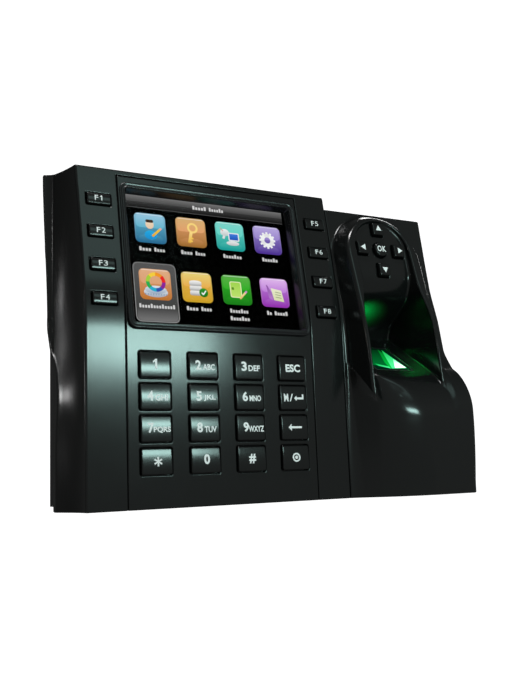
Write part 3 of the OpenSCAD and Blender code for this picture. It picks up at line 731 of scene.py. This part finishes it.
def grey(level):
    return level, level, level


WHITE = (0.85, 0.87, 0.87)


def draw_person(p, u, v):
    p.disc(u, v - 2.9, 2.6, (0.02, 0.4, 0.75), (0.01, 0.25, 0.6), squash=0.75)
    p.disc(u - 0.2, v + 1.7, 1.7, (0.85, 0.68, 0.5), (0.75, 0.55, 0.38), squash=1.15)
    p.slab(u - 0.2, v + 3.1, 3.2, 1.3, (0.05, 0.03, 0.02), r=0.6)
    p.bar(u + 0.6, v - 3.3, u + 4.3, v + 0.2, 0.9, (0.9, 0.6, 0.05), (0.8, 0.4, 0.02))
    p.bar(u + 3.8, v - 0.3, u + 4.5, v + 0.4, 0.9, (0.8, 0.4, 0.35))


def draw_key(p, u, v):
    p.ring(u + 0.7, v + 2.0, 2.3, 0.9, [(0.9, 0.65, 0.2)] * 4)
    p.bar(u, v + 0.1, u - 1.1, v - 4.6, 1.3, (0.95, 0.7, 0.25), (0.75, 0.42, 0.05))
    p.bar(u - 0.4, v - 2.4, u + 0.7, v - 2.7, 0.7, (0.85, 0.55, 0.1))
    p.bar(u - 0.7, v - 3.6, u + 0.4, v - 3.9, 0.7, (0.85, 0.55, 0.1))


def draw_monitor(p, u, v):
    p.disc(u - 2.3, v + 1.6, 2.0, WHITE, (0.5, 0.55, 0.55), squash=0.8)
    p.bar(u - 3.0, v + 2.2, u - 4.2, v + 3.6, 0.4, (0.7, 0.3, 0.25))
    p.bar(u - 2.6, v + 0.2, u - 3.2, v - 1.2, 1.0, (0.7, 0.72, 0.72))
    p.slab(u + 1.6, v - 0.1, 4.9, 3.7, (0.75, 0.78, 0.8), r=0.5)
    p.slab(u + 1.6, v - 0.1, 3.9, 2.7, (0.05, 0.2, 0.7), (0.01, 0.08, 0.45), r=0.2)
    p.disc(u + 0.9, v - 3.0, 2.9, (0.8, 0.82, 0.82), (0.5, 0.52, 0.52), squash=0.35)


def draw_gear(p, u, v):
    teeth = 12
    for k in range(teeth):
        a = k * math.tau / teeth
        c, s = math.cos(a), math.sin(a)
        p.bar(u + 2.2 * c, v + 2.2 * s, u + 3.8 * c, v + 3.8 * s, 0.95, WHITE)
    p.ring(u, v, 3.1, 1.7, [WHITE, (0.75, 0.76, 0.76)] * 3)


def draw_colour_ring(p, u, v):
    p.disc(u, v - 3.2, 4.9, (0.75, 0.8, 0.85), (0.35, 0.4, 0.48), squash=0.42)
    for k in range(-4, 5):
        p.bar(u + 1.05 * k, v - 4.4, u + 1.05 * k, v - 3.8, 0.35, (0.15, 0.25, 0.4))
    p.disc(u, v - 2.2, 4.4, (0.7, 0.76, 0.82), (0.3, 0.38, 0.5), squash=0.38)
    wheel = [
        (0.8, 0.02, 0.02), (0.85, 0.3, 0.02), (0.9, 0.6, 0.05), (0.35, 0.6, 0.05),
        (0.02, 0.4, 0.08), (0.02, 0.4, 0.6), (0.03, 0.08, 0.4), (0.25, 0.02, 0.3)]
    p.ring(u + 0.2, v + 1.0, 4.0, 1.5, wheel)


def draw_store(p, u, v):
    for level in (-2.6, -0.6, 1.4):
        p.slab(u - 0.6, v + level, 5.2, 1.7, (0.8, 0.8, 0.78), (0.35, 0.35, 0.36), r=0.8)
        p.disc(u - 0.6, v + level + 0.7, 2.6, (0.9, 0.9, 0.88), (0.6, 0.6, 0.6), squash=0.3)
    p.disc(u + 2.6, v - 2.1, 1.9, (0.03, 0.3, 0.03), (0.01, 0.16, 0.01))
    p.bar(u + 1.7, v - 2.1, u + 2.4, v - 2.9, 0.5, WHITE)
    p.bar(u + 2.3, v - 3.0, u + 3.6, v - 1.2, 0.5, WHITE)


def draw_door(p, u, v):
    p.slab(u - 0.4, v + 0.2, 5.1, 6.9, (0.8, 0.85, 0.5), r=0.8)
    p.slab(u - 0.4, v + 0.2, 4.4, 6.2, (0.35, 0.65, 0.08), (0.5, 0.75, 0.15), r=0.6)
    p.slab(u - 1.7, v + 0.6, 1.0, 1.1, (0.1, 0.25, 0.02))
    p.bar(u + 1.1, v - 3.6, u + 4.0, v - 0.6, 0.8, (0.85, 0.7, 0.35), (0.75, 0.5, 0.15))
    p.bar(u + 3.7, v - 0.9, u + 4.4, v - 0.2, 0.8, (0.6, 0.25, 0.6))


def draw_card(p, u, v):
    fold = [(-3.6, 3.4), (-3.0, 3.0), (-1.0, -1.0), (-1.2, -3.2), (-2.8, -2.4)]
    sheet = [(-1.6, 2.0), (3.2, 1.2), (4.0, -3.8), (-0.6, -3.2)]
    p.shape([(u + a, v + b) for a, b in fold], (0.25, 0.08, 0.35), (0.45, 0.2, 0.6))
    p.shape([(u + a, v + b) for a, b in sheet], (0.8, 0.82, 0.6), (0.65, 0.7, 0.4))
    for k in range(3):
        p.bar(u + 0.2, v + 0.4 - 1.1 * k, u + 2.9, v - 1.1 * k, 0.3, (0.25, 0.3, 0.15))


TILES = [
    ((0.30, 0.55, 0.72), (0.02, 0.14, 0.28), (0.12, 0.45, 0.60), draw_person),
    ((0.66, 0.42, 0.17), (0.35, 0.15, 0.03), (0.75, 0.35, 0.15), draw_key),
    ((0.20, 0.65, 0.58), (0.01, 0.32, 0.29), (0.12, 0.65, 0.55), draw_monitor),
    ((0.46, 0.38, 0.72), (0.07, 0.03, 0.28), (0.30, 0.22, 0.58), draw_gear),
    ((0.72, 0.40, 0.22), (0.50, 0.17, 0.03), (0.70, 0.35, 0.18), draw_colour_ring),
    ((0.78, 0.62, 0.18), (0.60, 0.35, 0.02), (0.80, 0.42, 0.08), draw_store),
    ((0.10, 0.42, 0.06), (0.01, 0.20, 0.01), (0.03, 0.42, 0.02), draw_door),
    ((0.72, 0.45, 0.82), (0.28, 0.03, 0.42), (0.50, 0.20, 0.68), draw_card),
]


def draw_label(p, u, v, widths):
    """Rows of small plain blocks in place of words"""
    space, pitch = 1.1, 1.15
    total = sum(widths) + space * (len(widths) - 1)
    at = u - total / 2
    for w in widths:
        count = max(round(w / pitch), 1)
        step = w / count
        for k in range(count):
            tall = 1.75 if k % 4 == 0 else 1.2
            p.slab(at + (k + 0.5) * step, v - 0.6 + tall / 2, step - 0.3, tall, grey(0.6), r=0.3)
        at += w + space


def make_screen():
    """A header bar over two rows of four tiles, the lower left one highlighted"""
    p = Picture(front_place(SCREEN_X, SCREEN_S), -4.45)
    p.slab(0, 0, SCREEN_W + 3, SCREEN_H + 3, grey(0.0))
    half_w = SCREEN_W / 2 - 0.3
    head_top, head_mid, head_foot = 27.2, 24.4, 21.9
    bands = ((head_top, head_mid, 0.16, 0.06), (head_mid, head_foot, 0.035, 0.006))
    for top, foot, light, dark in bands:
        corners = [(-half_w, top), (half_w, top), (half_w, foot), (-half_w, foot)]
        p.shape(corners, grey(light), grey(dark))
    p.slab(0, 27.1, 69.4, 0.3, grey(0.26))
    p.slab(0, head_foot, 69.4, 0.25, grey(0.08))
    draw_label(p, 0.3, 24.4, [6.2, 6.6])
    chosen_u, chosen_v = -25.2, -13.5
    p.slab(chosen_u, chosen_v, 17.4, 24.1, grey(0.22), grey(0.30), r=2.0)
    p.slab(chosen_u, chosen_v, 16.8, 23.5, grey(0.09), (0.04, 0.042, 0.04), r=1.8)
    p.slab(chosen_u, -22.4, 16.2, 5.4, grey(0.05), grey(0.17), r=1.6)
    middle_u, tile_du, tile_v = 0.4, 17.2, (13.3, -10.4)
    labels = [[5, 4.6], [5, 4.4], [8.4], [7.4], [14.6], [5, 4.6], [8.2], [2.4, 6.2]]
    for i, (edge, middle, low, draw) in enumerate(TILES):
        u = middle_u + tile_du * (i % 4 - 1.5)
        v = tile_v[i // 4]
        p.slab(u, v, 12.8, 12.6, edge, middle, r=1.9)
        p.slab(u, v, 12.2, 12.0, low, middle, r=1.7)
        p.slab(u, v + 3.0, 11.8, 5.6, edge, low, r=1.5)
        p.disc(u, v - 4.2, 5.0, [0.5 * (a + b) for a, b in zip(low, middle)], middle, squash=0.34)
        draw(p, u, v)
        p.slab(u, v + 5.8, 11.0, 0.3, WHITE, edge)
        draw_label(p, u, v - 9.2, labels[i])
    draw_label(p, middle_u + tile_du * 0.5, -22.8, [8.6])
    piece("screen_picture", p.mesh("screen_picture"), SCREEN)


make_bezel()
make_screen()

# ---- keys ------------------------------------------------------------------------------


def glyphs(text, width, height, u, v, weight=0.035):
    """Flat lettering of the built-in face, fitted to a box centred on (u, v)"""
    curve = bpy.data.curves.new("legend", "FONT")
    curve.body = text
    curve.offset = weight
    curve.resolution_u = 3
    holder = bpy.data.objects.new("legend", curve)
    bpy.context.collection.objects.link(holder)
    bpy.context.view_layer.update()
    mesh = bpy.data.meshes.new_from_object(holder.evaluated_get(bpy.context.evaluated_depsgraph_get()))
    bpy.data.objects.remove(holder)
    bpy.data.curves.remove(curve)
    points = np.array([vert.co[:2] for vert in mesh.vertices])
    low, high = points.min(0), points.max(0)
    fit = (points - (low + high) / 2) * (np.array([width, height]) / (high - low)) + np.array([u, v])
    faces = [tuple(f.vertices) for f in mesh.polygons]
    bpy.data.meshes.remove(mesh)
    return [tuple(q) for q in fit], faces


def outline(*points):
    return list(points), [tuple(range(len(points)))]


def ring_mark(u, v, outer, inner):
    n = 24
    faces = [(i, (i + 1) % n, n + (i + 1) % n, n + i) for i in range(n)]
    return circle(u, v, outer, n) + circle(u, v, inner, n), faces


def left_arrow(u, v, length, head, thick):
    tip, neck, end, half = u - length / 2, u - length / 2 + head, u + length / 2, thick / 2
    return outline((tip, v), (neck, v + head), (neck, v + half), (end, v + half),
                   (end, v - half), (neck, v - half), (neck, v - head))


def triangle(turn):
    return outline(*circle(0, 0, 1.6, 3, turn=turn))


def slim_one(u, v):
    return outline((u - 0.5, v + 0.6), (u - 0.05, v + 1.05), (u + 0.3, v + 1.05), (u + 0.3, v - 1.05),
                   (u - 0.1, v - 1.05), (u - 0.1, v + 0.55), (u - 0.5, v + 0.25))


def star(u, v, r):
    """Six short arms"""
    points = []
    for k in range(6):
        a = math.pi / 2 + k * math.tau / 6
        for turn, reach in ((-0.2, r), (0.2, r), (math.pi / 6, 0.3 * r)):
            points.append((u + reach * math.cos(a + turn), v + reach * math.sin(a + turn)))
    return outline(*points)


def digit(text, letters=None):
    if letters is None:
        return [glyphs(text, 2.4, 3.7, 0.3, 0.3)]
    small = glyphs(letters, 1.65 * len(letters), 2.3, 2.1, -0.4, 0.03)
    return [glyphs(text, 2.3, 3.7, -2.2, 0.3), small]


ONE = [outline((-0.95, 1.35), (0.05, 2.2), (0.65, 2.2), (0.65, -1.6), (-0.15, -1.6),
               (-0.15, 1.25), (-0.95, 0.65))]
SLASH = outline((-1.9, -1.5), (-1.4, -1.5), (-0.3, 1.5), (-0.8, 1.5))
RETURN_STEM = outline((3.8, -0.3), (3.8, 1.3), (4.5, 1.3), (4.5, -0.3))
PAD = [
    ("1", ONE),
    ("2", digit("2", "ABC")),
    ("3", digit("3", "DEF")),
    ("esc", [glyphs("ESC", 6.6, 3.1, 0.2, 0)]),
    ("4", digit("4", "GHI")),
    ("5", digit("5", "JKL")),
    ("6", digit("6", "MNO")),
    ("menu", [glyphs("M", 1.9, 3.1, -3.4, 0, 0.02), SLASH, left_arrow(2.3, -0.3, 4.2, 1.1, 0.8),
              RETURN_STEM]),
    ("7", digit("7", "PQRS")),
    ("8", digit("8", "TUV")),
    ("9", digit("9", "WXYZ")),
    ("back", [left_arrow(0.1, 0, 6, 1.4, 0.8)]),
    ("star", [star(0.3, -0.1, 1.7)]),
    ("0", digit("0")),
    ("hash", [glyphs("#", 2.9, 3.6, 0, 0)]),
    ("power", [ring_mark(0.1, 0, 1.75, 1.15), ring_mark(0.1, 0, 0.65, 0.05)]),
]
NAV = [
    ("up", 0, 1, [triangle(math.pi / 2)]),
    ("down", 0, -1, [triangle(-math.pi / 2)]),
    ("left", -1, 0, [triangle(math.pi)]),
    ("right", 1, 0, [triangle(0)]),
    ("ok", 0, 0, [glyphs("O", 2.1, 2.7, -1.2, 0, 0.02), glyphs("K", 1.9, 2.7, 1.2, 0, 0.02)]),
]


def key_piece(name, cap_mesh, legend, place, field, top):
    """A copy of the cap at its place, with its legend laid on the crown"""
    bm = bmesh.new()
    for points, faces in legend:
        verts = [bm.verts.new((u, v, 0)) for u, v in points]
        for face in faces:
            bm.faces.new([verts[i] for i in face])
    cuts = [((0, at, 0), (0, 1, 0)) for at in np.arange(-3, 3.01, 0.5)]
    cuts += [((at, 0, 0), (1, 0, 0)) for at in np.arange(-5, 5.01, 1.0)]
    for at, across in cuts:
        everything = bm.verts[:] + bm.edges[:] + bm.faces[:]
        bmesh.ops.bisect_plane(bm, geom=everything, plane_co=at, plane_no=across)
    flat = np.array([v.co[:] for v in bm.verts])
    heights = np.full(len(flat), float(top) + 0.3)
    for _ in range(12):
        heights -= field(flat[:, 0], flat[:, 1], heights)
    for vert, height in zip(bm.verts, heights):
        vert.co = place @ Vector((vert.co.x, vert.co.y, height + 0.03)) * MM
    for face in bm.faces:
        face.normal_update()
        if face.normal.dot(place.to_3x3().col[2]) < 0:
            face.normal_flip()
        face.smooth = True
    legend_mesh = bpy.data.meshes.new(name + "_legend")
    bm.to_mesh(legend_mesh)
    bm.free()
    cap = cap_mesh.copy()
    cap.name = name + "_cap"
    turn = np.array(place.to_3x3())
    normals = np.array([n.vector[:] for n in cap_mesh.vertex_normals])
    points = np.empty(len(cap.vertices) * 3)
    cap.vertices.foreach_get("co", points)
    points = points.reshape(-1, 3) @ turn.T + np.array(place.translation) * MM
    cap.vertices.foreach_set("co", points.ravel())
    cap.update()
    cap.normals_split_custom_set_from_vertices((normals @ turn.T).tolist())
    piece(name + "_cap", cap, CAP, ridden=name, stands_for=[name])
    piece(name + "_legend", legend_mesh, PRINT_AND_PAINTED_GLOW, ridden=name)


def make_keys():
    caps = {
        "pad": (pad_cap, 7.0, 5.8),
        "function": (function_cap, 5.6, 3.2),
        "arrow": (arrow_cap, 3.9, 3.9),
        "ok": (ok_cap, 4.4, 4.4),
    }
    meshes = {}
    step = 0.24
    for kind, (field, half_w, half_h) in caps.items():
        grid = (lines(-half_w, half_w, step), lines(-half_h, half_h, step), lines(-3.8, 2.2, step))
        meshes[kind] = solid(kind, field, grid, Matrix.Identity(4))
    for i, (name, legend) in enumerate(PAD):
        place = front_place(KEY_X + KEY_DX * (i % 4), KEY_Z - KEY_DZ * (i // 4))
        key_piece("key_" + name, meshes["pad"], legend, place, pad_cap, KEY_RISE)
    for i in range(8):
        number = slim_one(0.9, 0.1) if i == 0 else glyphs(str(i + 1), 1.5, 2.1, 0.95, 0.1, 0.0)
        legend = [glyphs("F", 1.35, 2.1, -1.0, 0.1, 0.01), number]
        place = front_place(FKEY_X[i // 4], FKEY_S - FKEY_DS * (i % 4))
        key_piece(f"key_f{i + 1}", meshes["function"], legend, place, function_cap, KEY_RISE)
    lean_turn = front_place(0, PANEL_S).to_3x3().to_4x4()
    for name, right, up, legend in NAV:
        z = NAV_Z + up * NAV_D
        spot = Vector((NAV_X + right * NAV_D, float(nav_y(z)), z)) + CORNER
        kind = "ok" if name == "ok" else "arrow"
        place = Matrix.Translation(spot) @ lean_turn
        key_piece("key_" + name, meshes[kind], legend, place, caps[kind][0], NAV_RISE)


make_keys()

# ---- sensor ----------------------------------------------------------------------------


def slope_place():
    """Matrix from right, up the sensor slope and out of it to millimetres in the frame"""
    along, rise, across = math.cos(SLOPE_TILT), math.sin(SLOPE_TILT), (1, 0, 0)
    turn = Matrix((across, (0, along, -rise), (0, rise, along)))
    return Matrix.Translation(Vector((NAV_X, SLOPE_Y, SLOPE_Z)) + CORNER) @ turn.to_4x4()


def make_sensor_glow():
    """The lit window: deep green, with a hot wedge and a bright strip along the near edge"""
    half_w, half_l = SENSOR_W / 2, SENSOR_L / 2
    near, right, left = -half_l + 1.1, half_w - 1.2, -half_w + 0.3
    hot = (0.1, 1.2, 0.42)
    facets = [
        ([(left, half_l - 2), (5.0, half_l - 1), (1.0, near + 2), (left, near + 3)],
         (0.0, 0.03, 0.006), (0.0, 0.17, 0.03)),
        ([(4.4, half_l - 0.6), (right, near + 0.8), (-1.6, near), (-0.6, near + 6)],
         (0.0, 0.13, 0.012), (0.0, 0.62, 0.06)),
        ([(6.2, half_l - 1.0), (right, near + 0.9), (-0.6, near)], (0.0, 0.45, 0.05), hot),
        ([(6.4, 0.5), (right - 0.2, near + 1.2), (1.4, near + 0.7)], hot, (1.8, 2.2, 2.0)),
        ([(-6.8, near + 4.6), (-6.0, near + 2.4), (-1.3, near), (-1.1, near + 1.9)],
         (0.0, 0.5, 0.07), (0.08, 1.2, 0.4)),
    ]
    p = Picture(slope_place(), -0.27)
    p.slab(0, 0, SENSOR_W, SENSOR_L, (0.0, 0.012, 0.004), (0.0, 0.02, 0.008), r=0.3)
    for corners, colour, low_colour in facets:
        p.shape(corners, colour, low_colour)
    piece("sensor_glow", p.mesh("sensor_glow"), GLOW, stands_for=["sensor_prism"])


make_sensor_glow()

# ---- finishes of the CAD nodes that stay --------------------------------------------------

KEPT = [
    (STEEL, ["wall_plate", "lcd_module", "cover_screws", "board_screws", "lock_screw"]),
    (REAR, ["rear_cover"]),
    (GLASS, ["display_window"]),
    (RUBBER, ["keypad_mat", "function_mat_left", "function_mat_right", "nav_mat"]),
    (BOARD, ["keypad_board", "function_board_left", "function_board_right", "nav_board"]),
    (BOARD, ["main_board", "sensor_lights", "card_antenna"]),
    (SEAL, ["sensor_seal", "sensor_housing", "sensor_camera", "speaker"]),
    (BATTERY, ["backup_battery"]),
    (NICKEL, ["network_jack", "usb_port"]),
    (TERMINAL, ["terminal_block"]),
]


def finish_cad_nodes():
    for material, names in KEPT:
        for name in names:
            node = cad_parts[name]
            node.data.materials.clear()
            node.data.materials.append(material)
    for name in ("rear_cover", "wall_plate"):
        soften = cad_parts[name].modifiers.new("soft_edges", "BEVEL")
        soften.width = 0.35 * MM
        soften.segments = 2
        soften.limit_method = "ANGLE"
        soften.harden_normals = True


finish_cad_nodes()

# ---- floor, backdrop and lights -----------------------------------------------------------


def make_stage():
    """A pale floor that curves up into a wall all round, closed above, for the camera alone"""
    glow = {"Emission_Color": (1, 1, 1, 1), "Emission_Strength": 1.0}
    pale = new_material("pale_sweep", (0.9, 0.9, 0.9), 0.9, **glow)[0]
    floor_z, floor_r, curve_r, wall_h, hub_r = -0.5, 2.4, 0.6, 3.0, 0.01
    angles = np.linspace(0, math.pi / 2, 13)
    bend = [(floor_r + curve_r * math.sin(a), floor_z + curve_r * (1 - math.cos(a))) for a in angles]
    profile = [(hub_r, floor_z)] + bend + [(floor_r + curve_r, wall_h), (hub_r, wall_h)]
    turns = 64
    bm = bmesh.new()
    rings = [[bm.verts.new((x, y, z)) for x, y in circle(0, 0, r, turns)] for r, z in profile]
    for a, b in zip(rings, rings[1:]):
        for k in range(turns):
            j = (k + 1) % turns
            bm.faces.new((a[k], b[k], b[j], a[j])).smooth = True
    bm.faces.new(rings[0][::-1])
    bm.faces.new(rings[-1])
    mesh = bpy.data.meshes.new("floor")
    bm.to_mesh(mesh)
    bm.free()
    mesh.materials.append(pale)
    floor = bpy.data.objects.new("floor", mesh)
    bpy.context.collection.objects.link(floor)
    for ray in ("visible_glossy", "visible_diffuse", "visible_shadow", "visible_transmission"):
        setattr(floor, ray, False)


def area_light(name, at, aim, width, height, power, colour):
    """A rectangle, its places and sides in metres and its power in watts"""
    data = bpy.data.lights.new(name, "AREA")
    data.shape = "RECTANGLE"
    data.size, data.size_y = width, height
    data.energy = power
    data.color = colour
    light = bpy.data.objects.new(name, data)
    light.location = at
    light.rotation_euler = (Vector(aim) - Vector(at)).to_track_quat("-Z", "Y").to_euler()
    light.visible_camera = False
    bpy.context.collection.objects.link(light)
    return light


def make_lights():
    """A dim room, darker upwards and towards the wall, and boxes placed by their reflections"""
    world = bpy.data.worlds.new("studio")
    world.use_nodes = True
    nodes, links = world.node_tree.nodes, world.node_tree.links
    nodes["Background"].inputs["Color"].default_value = (0.97, 1, 0.98, 1)
    heading = nodes.new("ShaderNodeTexCoord")
    parts = nodes.new("ShaderNodeVectorMath")
    parts.operation = "DOT_PRODUCT"
    parts.inputs[1].default_value = (0, 1, 0.8)
    fade = nodes.new("ShaderNodeMapRange")
    for socket, value in {"From Min": -0.4, "From Max": 0.6, "To Min": 0.21, "To Max": 0.05}.items():
        fade.inputs[socket].default_value = value
    links.new(heading.outputs["Generated"], parts.inputs[0])
    links.new(parts.outputs["Value"], fade.inputs["Value"])
    links.new(fade.outputs["Result"], nodes["Background"].inputs["Strength"])
    bpy.context.scene.world = world
    bpy.context.scene.view_settings.view_transform = "Standard"
    teal, white = (0.64, 1.0, 0.94), (1, 1, 1)
    area_light("front_strip", (0.053, -0.336, 0.047), (0.053, 0, 0.047), 0.11, 0.038, 0.315, teal)
    area_light("front_high", (0.055, -0.336, 0.28), (0.055, 0, 0.28), 0.15, 0.16, 0.075, teal)
    area_light("overhead", (-0.037, -0.225, 0.647), (0.05, -0.04, -0.02), 0.16, 0.1, 1.5, white)
    area_light("flange_line", (-0.575, 0.307, 0.14), (-0.083, -0.017, 0.015), 0.012, 0.03, 0.018, white)
    area_light("flange_blob", (-0.576, 0.32, 0.05), (-0.083, -0.017, -0.022), 0.08, 0.05, 0.17, white)
    area_light("ridge_light", (-0.637, -0.134, 0.2), (-0.085, -0.014, 0.005), 0.03, 0.03, 0.05, white)
    area_light("rear_soft", (0.7, 0.7, 0.5), (0, 0, 0), 0.5, 0.5, 3, white)
    green, window_side = (0.0, 1.0, 0.13), 0.004
    window = (Vector((123, 3, 71)) + CORNER) * MM
    pocket = (Vector((128, 11, 79.6)) + CORNER) * MM
    roof = area_light("roof_glow", window, pocket, window_side, window_side, 0.011, green)
    roof.data.spread = math.radians(65)


make_stage()
make_lights()
